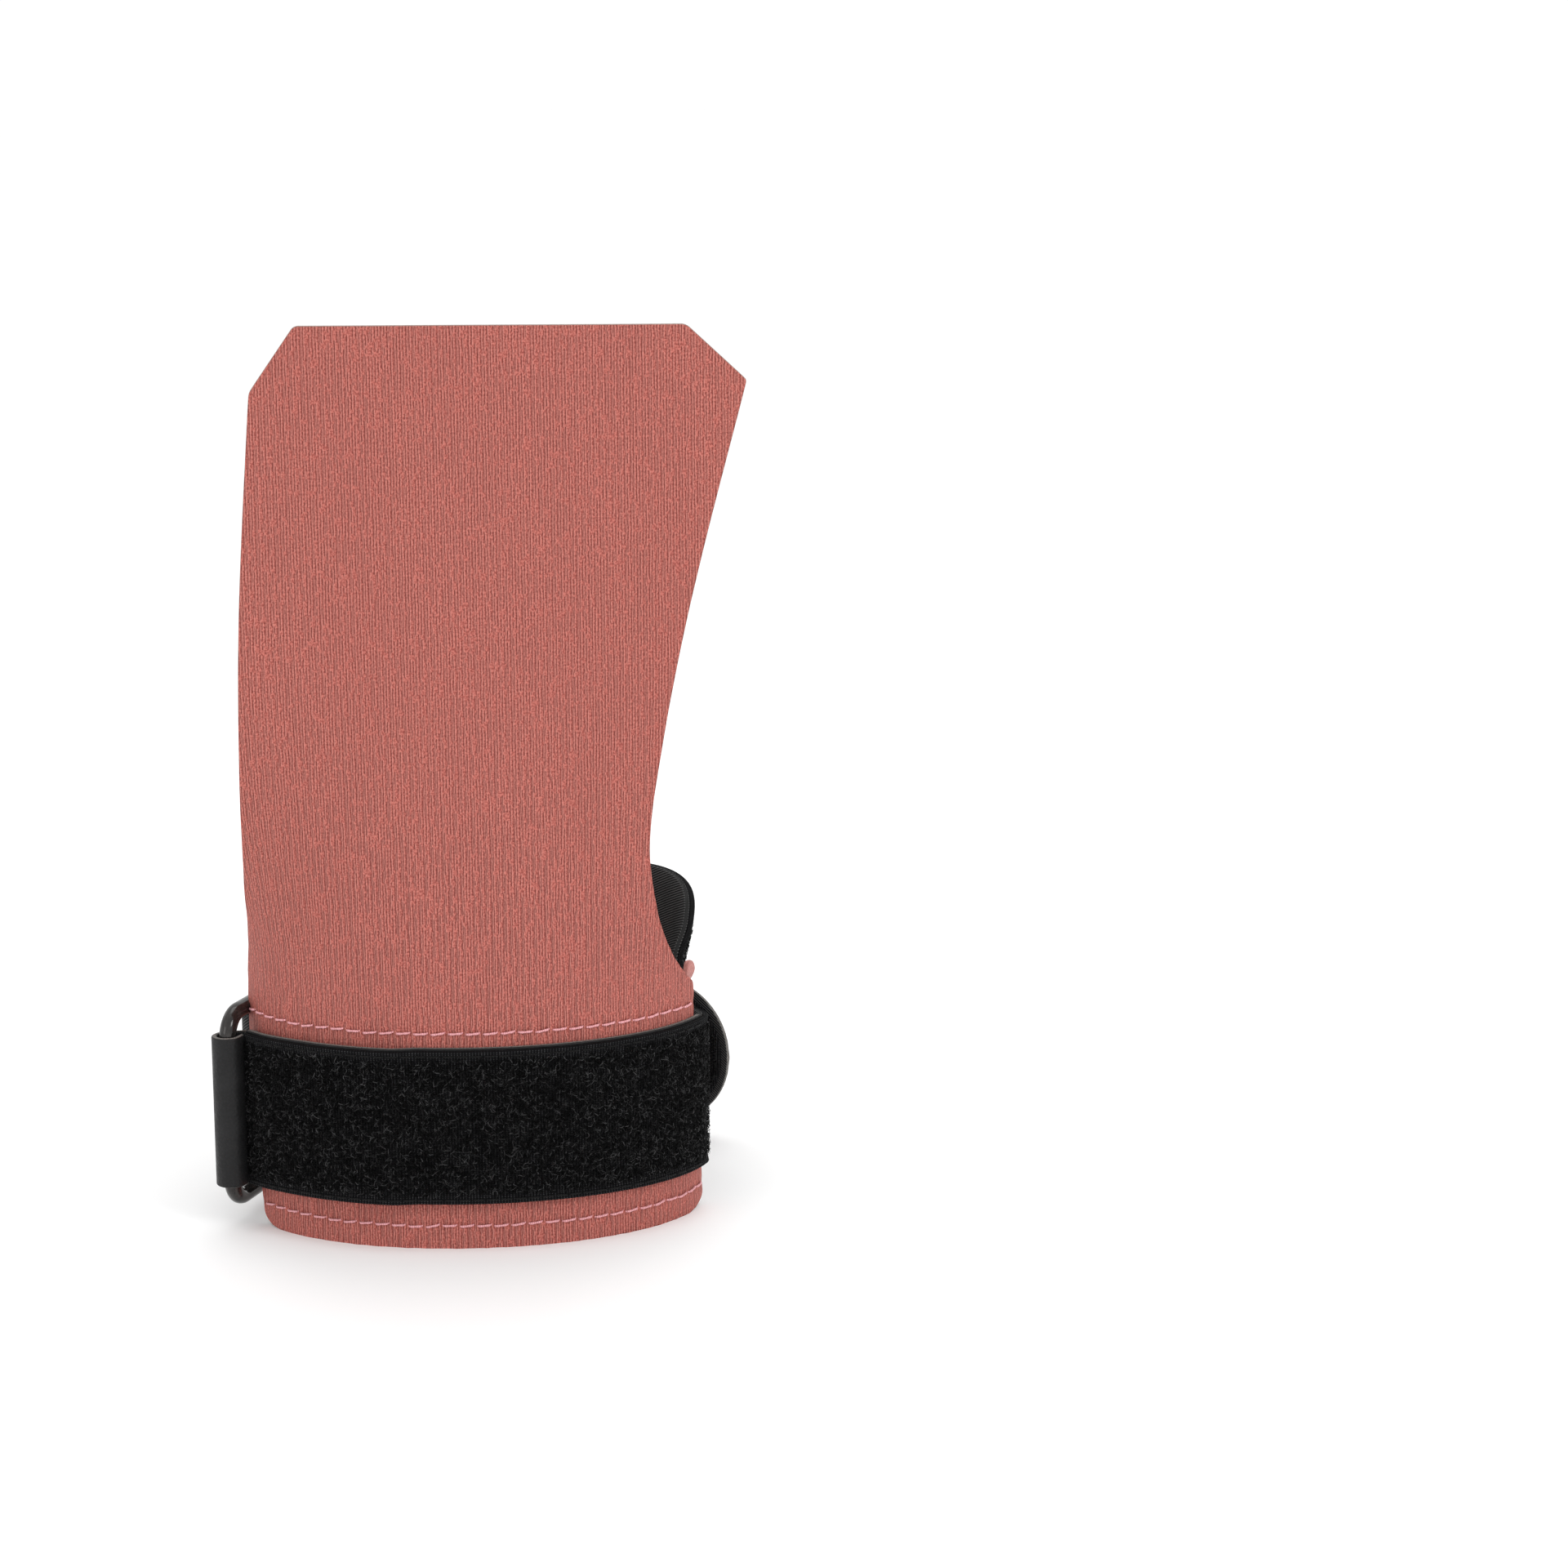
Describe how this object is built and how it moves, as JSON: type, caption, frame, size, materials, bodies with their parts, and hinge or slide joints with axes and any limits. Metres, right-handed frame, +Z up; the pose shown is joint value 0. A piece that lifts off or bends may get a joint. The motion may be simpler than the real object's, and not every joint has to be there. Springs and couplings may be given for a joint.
{
  "type": "gymnastics hand grip",
  "caption": "Buckled gymnastics palm grip: fingerless coated palm sheet on a padded wrist cuff, closed by a hook-and-loop strap through a metal ring.",
  "frame": {"origin": "on the rest plane under the middle of the wrist opening: the centre of the cuff's curve in plan, at the cuff's lower edge", "axes": "+Z up from the cuff to the finger end, -Y out of the palm sheet's outer face, +X towards the thumb cut-out and the strap's free end"},
  "size_m": [0.11, 0.0846, 0.188],
  "materials": {
    "panel_coral": "matt coated microfibre with wavy vertical slubs, muted coral",
    "lining_coral": "soft brushed lining, pinkish coral",
    "foam_grey": "closed-cell foam, dark grey",
    "thread_pink": "twisted sewing thread, light pink",
    "thread_black": "twisted sewing thread, black",
    "strap_leather": "smooth fine-grained synthetic leather, black, satin",
    "loop_black": "hairy loop pile between woven ribbed edges, black",
    "webbing_black": "fine diagonal ribbed webbing, black",
    "hook_black": "rows of fine hooks, black",
    "ring_nickel": "polished black nickel"
  },
  "bodies": {
    "cuff": {"cuff_panel": "panel_coral", "wrist_foam": "foam_grey", "wrist_lining": "lining_coral", "lining_tab": "lining_coral", "cuff_seam_upper": "thread_pink", "cuff_seam_lower": "thread_pink", "strap_base": "strap_leather", "keeper_tab": "strap_leather", "loop_tape_front": "loop_black", "tape_seam_upper": "thread_black", "tape_seam_lower": "thread_black", "rear_webbing": "webbing_black", "loop_tape_rear": "loop_black", "ring_fold": "webbing_black"},
    "palm": {"palm_panel": "panel_coral"},
    "fingers": {"finger_panel": "panel_coral"},
    "ring": {"buckle_ring": "ring_nickel"},
    "flap": {"closing_flap": "strap_leather", "hook_patch": "hook_black", "flap_seam": "thread_black"}
  },
  "joints": [
    {"name": "wrist_flex", "type": "hinge", "parent": "cuff", "child": "palm", "pos_m": [0, -0.0146, 0.0515], "axis": [1, 0, 0], "range_deg": [-35, 25], "stiffness_Nm_per_rad": 0.08},
    {"name": "finger_bend", "type": "hinge", "parent": "palm", "child": "fingers", "pos_m": [0, -0.028, 0.115], "axis": [1, 0, 0], "range_deg": [-30, 60], "stiffness_Nm_per_rad": 0.04},
    {"name": "ring_swivel", "type": "hinge", "parent": "cuff", "child": "ring", "pos_m": [-0.051, -0.013, 0.0256], "axis": [0, 0, 1], "range_deg": [-4, 4]},
    {"name": "strap_peel", "type": "hinge", "parent": "cuff", "child": "flap", "pos_m": [-0.0482, 0.0042, 0.0256], "axis": [0, 0, 1], "range_deg": [0, 75]}
  ]
}
